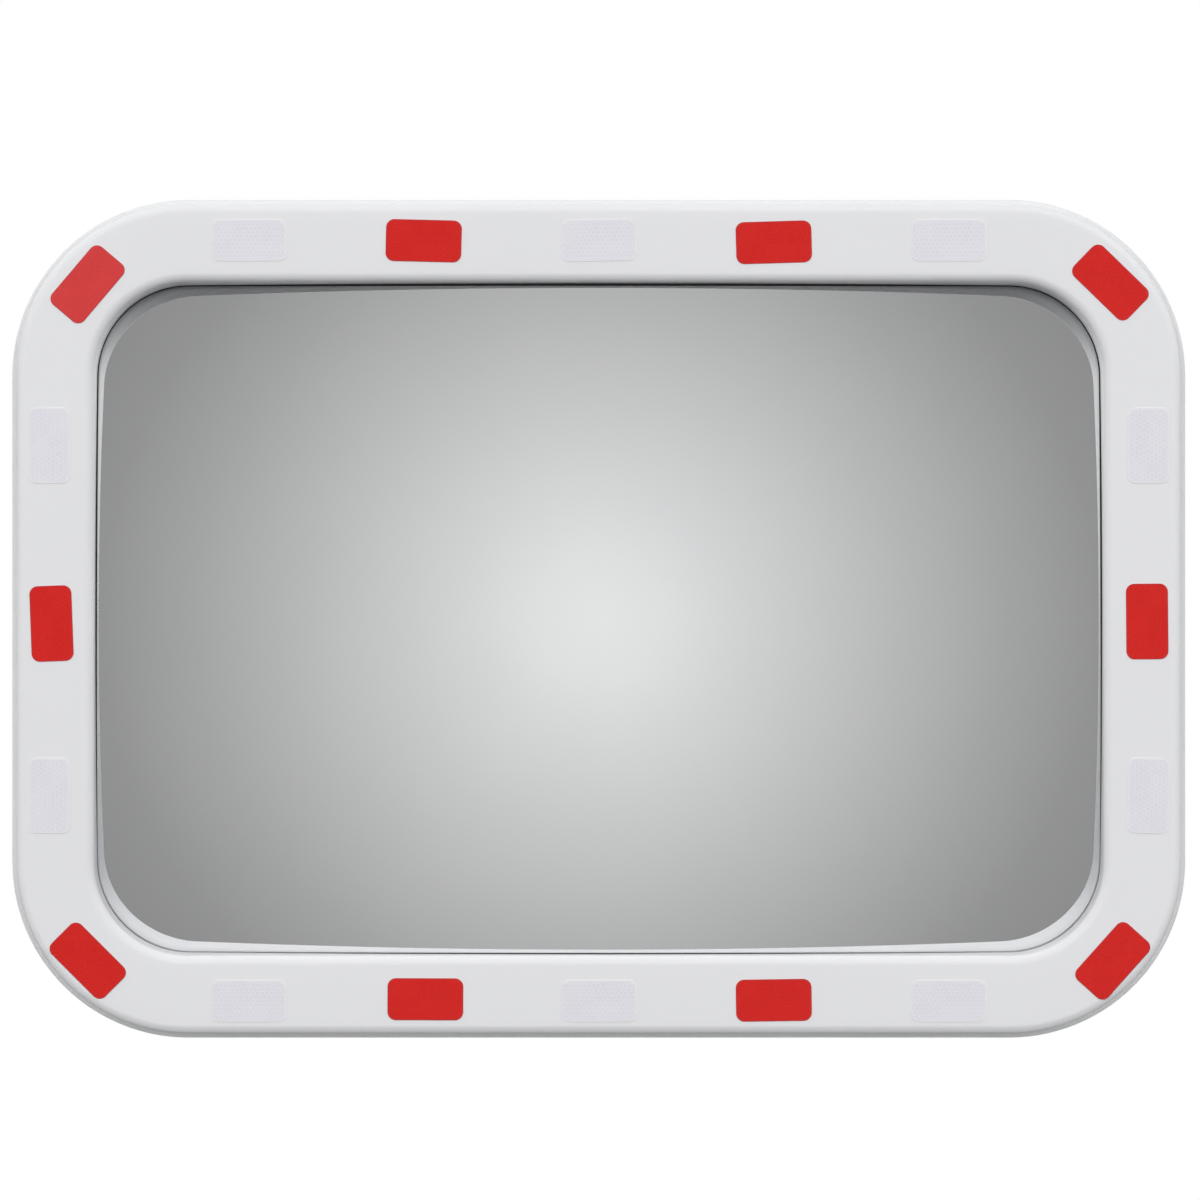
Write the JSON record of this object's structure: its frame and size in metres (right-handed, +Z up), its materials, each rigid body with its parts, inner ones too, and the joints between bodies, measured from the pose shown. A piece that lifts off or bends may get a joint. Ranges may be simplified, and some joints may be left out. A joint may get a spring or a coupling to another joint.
{
  "type": "convex security mirror",
  "caption": "Rectangular domed mirror in a rounded white frame with red and white reflectors, on a pole-clamp bracket that pans and tilts.",
  "frame": {"origin": "on the axis of the pole that the clamp holds, halfway up the clamp and level with the mirror's centre", "axes": "+Z up along the pole, +X along the mirror's width, the mirror faces -Y"},
  "size_m": [0.7, 0.2478, 0.5],
  "materials": {
    "mirror": "polished",
    "white_frame": "moulded satin",
    "white_shell": "moulded satin",
    "black_rubber": "matt",
    "black_foam": "matt",
    "zinc_plate": "zinc plated",
    "zinc_bracket": "zinc plated",
    "zinc_hardware": "zinc plated",
    "yellow_zinc": "yellow passivated",
    "nylon": "natural nylon",
    "red_film": "prismatic film",
    "white_film": "prismatic film"
  },
  "bodies": {
    "pole_bracket": {"clamp_saddle": "zinc_bracket", "pan_bolt": "zinc_hardware", "pan_nut": "zinc_hardware", "pan_washers": "zinc_hardware", "clamp_bolts": "zinc_hardware", "clamp_head_washers": "zinc_hardware"},
    "clamp_jaw": {"clamp_jaw": "zinc_bracket", "clamp_nuts": "zinc_hardware", "clamp_washers": "zinc_hardware"},
    "swivel": {"swivel_bracket": "zinc_bracket", "tilt_spacer": "zinc_hardware", "tilt_friction_washers": "nylon", "lock_bolts": "zinc_hardware", "lock_washers": "zinc_hardware", "lock_nuts": "zinc_hardware", "pan_spacer": "zinc_hardware", "pan_friction_washers": "nylon"},
    "head": {"mirror_face": "mirror", "front_frame": "white_frame", "rear_shell": "white_shell", "mirror_gasket": "black_rubber", "backing_tape": "black_foam", "backing_plate": "zinc_plate", "rivet_nuts": "yellow_zinc", "rim_screws": "zinc_hardware", "tilt_bracket": "zinc_bracket", "bracket_bolts": "zinc_hardware", "bracket_washers": "zinc_hardware", "red_reflector_1": "red_film", "red_reflector_2": "red_film", "red_reflector_3": "red_film", "red_reflector_4": "red_film", "red_reflector_5": "red_film", "red_reflector_6": "red_film", "red_reflector_7": "red_film", "red_reflector_8": "red_film", "red_reflector_9": "red_film", "red_reflector_10": "red_film", "white_reflector_1": "white_film", "white_reflector_2": "white_film", "white_reflector_3": "white_film", "white_reflector_4": "white_film", "white_reflector_5": "white_film", "white_reflector_6": "white_film", "white_reflector_7": "white_film", "white_reflector_8": "white_film", "white_reflector_9": "white_film", "white_reflector_10": "white_film", "tilt_bolt": "zinc_hardware", "tilt_nut": "zinc_hardware", "tilt_washers": "zinc_hardware"}
  },
  "joints": [
    {"name": "pan", "type": "hinge", "parent": "pole_bracket", "child": "swivel", "pos_m": [0, -0.062, 0], "axis": [0, 0, 1], "range_deg": [-40, 40]},
    {"name": "tilt", "type": "hinge", "parent": "swivel", "child": "head", "pos_m": [0, -0.104, 0], "axis": [1, 0, 0], "range_deg": [-25, 25]},
    {"name": "jaw_slide", "type": "slide", "parent": "pole_bracket", "child": "clamp_jaw", "axis": [0, 1, 0], "range_m": [0, 0.016]}
  ]
}
